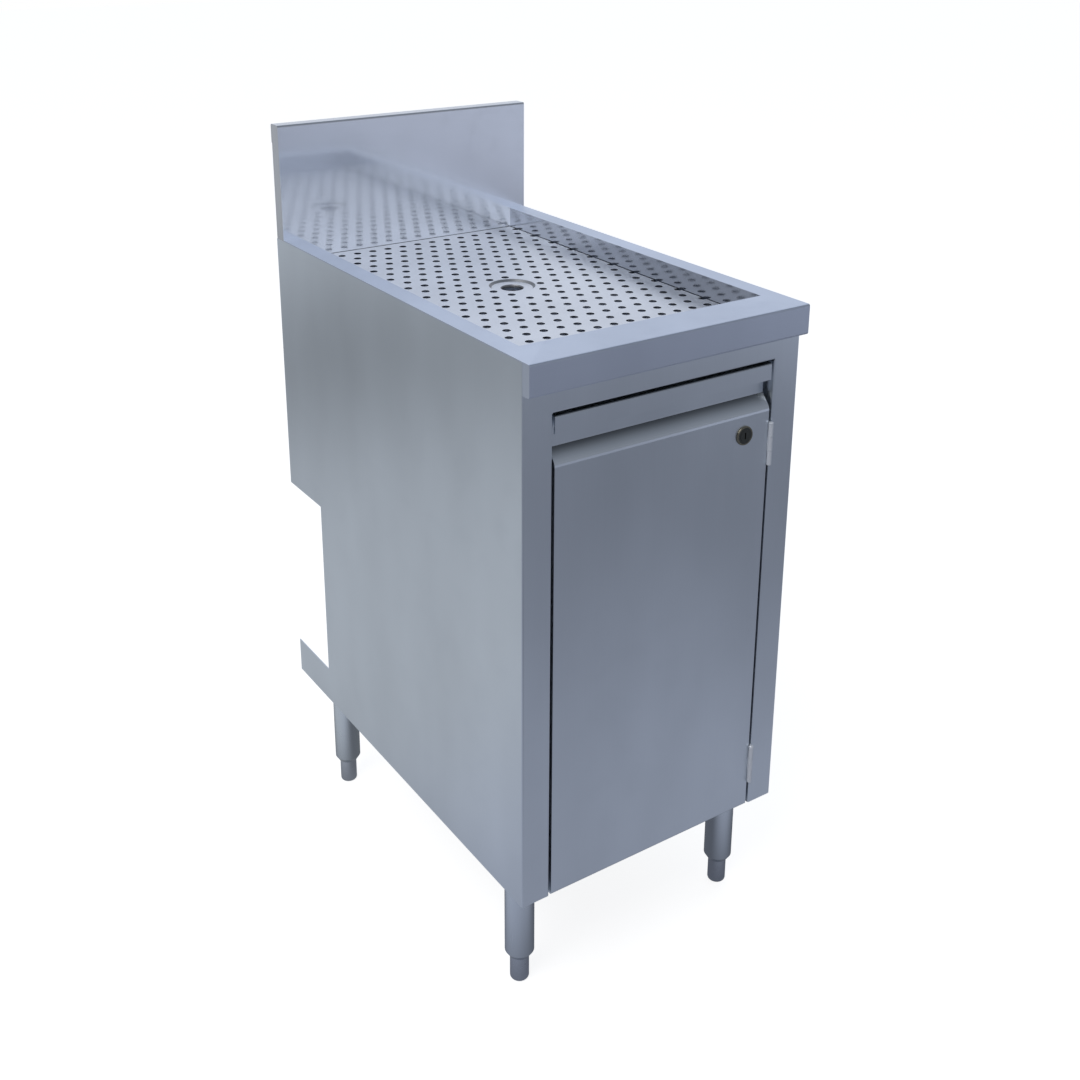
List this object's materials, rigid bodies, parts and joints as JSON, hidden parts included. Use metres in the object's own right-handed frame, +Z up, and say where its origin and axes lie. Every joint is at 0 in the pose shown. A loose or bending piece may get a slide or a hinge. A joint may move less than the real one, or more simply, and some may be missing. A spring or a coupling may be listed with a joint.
{
  "type": "underbar drainboard",
  "caption": "Narrow stainless underbar cabinet with a sunk perforated drainboard, backsplash, hinged door with a full-width integral pull, cam lock and bullet feet",
  "frame": {"origin": "on the floor under the centre of the overall outline", "axes": "+X to the right as seen from the front, +Y towards the wall, +Z up; the door faces -Y"},
  "size_m": [0.381, 0.6144, 0.9714],
  "materials": {
    "top_steel": "satin, polished along the width",
    "insert_steel": "satin, perforated sheet",
    "panel_steel": "satin, brushed upwards",
    "door_steel": "satin, brushed along the width",
    "leg_steel": "satin tube",
    "foot_steel": "turned, fine rings",
    "hinge_steel": "bright rolled knuckles",
    "screw_steel": "bright, plated",
    "drain_steel": "polished",
    "lock_face": "dark semi-gloss",
    "gasket_rubber": "matte black",
    "catch_plastic": "moulded, matte"
  },
  "bodies": {
    "cabinet": {"drainboard_top": "top_steel", "backsplash": "top_steel", "side_panel_left": "panel_steel", "side_panel_right": "panel_steel", "header": "panel_steel", "back_panel": "panel_steel", "bottom_shelf": "panel_steel", "mid_shelf": "panel_steel", "shelf_support_left": "panel_steel", "shelf_support_right": "panel_steel", "base_channel_front": "panel_steel", "base_channel_rear": "panel_steel", "leg_plates": "panel_steel", "leg_screws": "screw_steel", "leg_tube_front_left": "leg_steel", "leg_tube_front_right": "leg_steel", "leg_tube_rear_left": "leg_steel", "leg_tube_rear_right": "leg_steel", "drain_flange": "drain_steel", "drain_strainer": "drain_steel", "drain_gasket": "gasket_rubber", "drain_locknut": "drain_steel", "drain_tailpiece": "drain_steel", "drain_slip_nut": "drain_steel", "hinge_frame_leaf_upper": "hinge_steel", "hinge_frame_leaf_lower": "hinge_steel", "hinge_pin_upper": "hinge_steel", "hinge_pin_lower": "hinge_steel", "hinge_screws_frame": "screw_steel", "catch_magnet": "catch_plastic", "catch_screws": "screw_steel", "lock_keeper": "panel_steel"},
    "insert": {"perforated_insert": "insert_steel"},
    "door": {"door_skin": "door_steel", "door_pull": "door_steel", "door_liner": "door_steel", "hinge_door_leaf_upper": "hinge_steel", "hinge_door_leaf_lower": "hinge_steel", "hinge_screws_door": "screw_steel", "catch_plate": "screw_steel", "lock_housing": "lock_face", "lock_nut": "screw_steel"},
    "lock_core": {"lock_plug": "lock_face", "lock_cam": "screw_steel", "lock_cam_screw": "screw_steel"},
    "foot_front_left": {"foot_front_left": "foot_steel"},
    "foot_front_right": {"foot_front_right": "foot_steel"},
    "foot_rear_left": {"foot_rear_left": "foot_steel"},
    "foot_rear_right": {"foot_rear_right": "foot_steel"}
  },
  "joints": [
    {"name": "door_swing", "type": "hinge", "parent": "cabinet", "child": "door", "pos_m": [0.15115, -0.2971, 0.6719], "axis": [0, 0, 1], "range_deg": [0, 180]},
    {"name": "lock_turn", "type": "hinge", "parent": "door", "child": "lock_core", "pos_m": [0.11205, -0.2947, 0.6719], "axis": [0, 1, 0], "range_deg": [0, 90]},
    {"name": "insert_lift", "type": "slide", "parent": "cabinet", "child": "insert", "axis": [0, 0, 1], "range_m": [0, 0.2]},
    {"name": "foot_front_left_height", "type": "slide", "parent": "cabinet", "child": "foot_front_left", "axis": [0, 0, -1], "range_m": [0, 0.025]},
    {"name": "foot_front_right_height", "type": "slide", "parent": "cabinet", "child": "foot_front_right", "axis": [0, 0, -1], "range_m": [0, 0.025]},
    {"name": "foot_rear_left_height", "type": "slide", "parent": "cabinet", "child": "foot_rear_left", "axis": [0, 0, -1], "range_m": [0, 0.025]},
    {"name": "foot_rear_right_height", "type": "slide", "parent": "cabinet", "child": "foot_rear_right", "axis": [0, 0, -1], "range_m": [0, 0.025]}
  ]
}
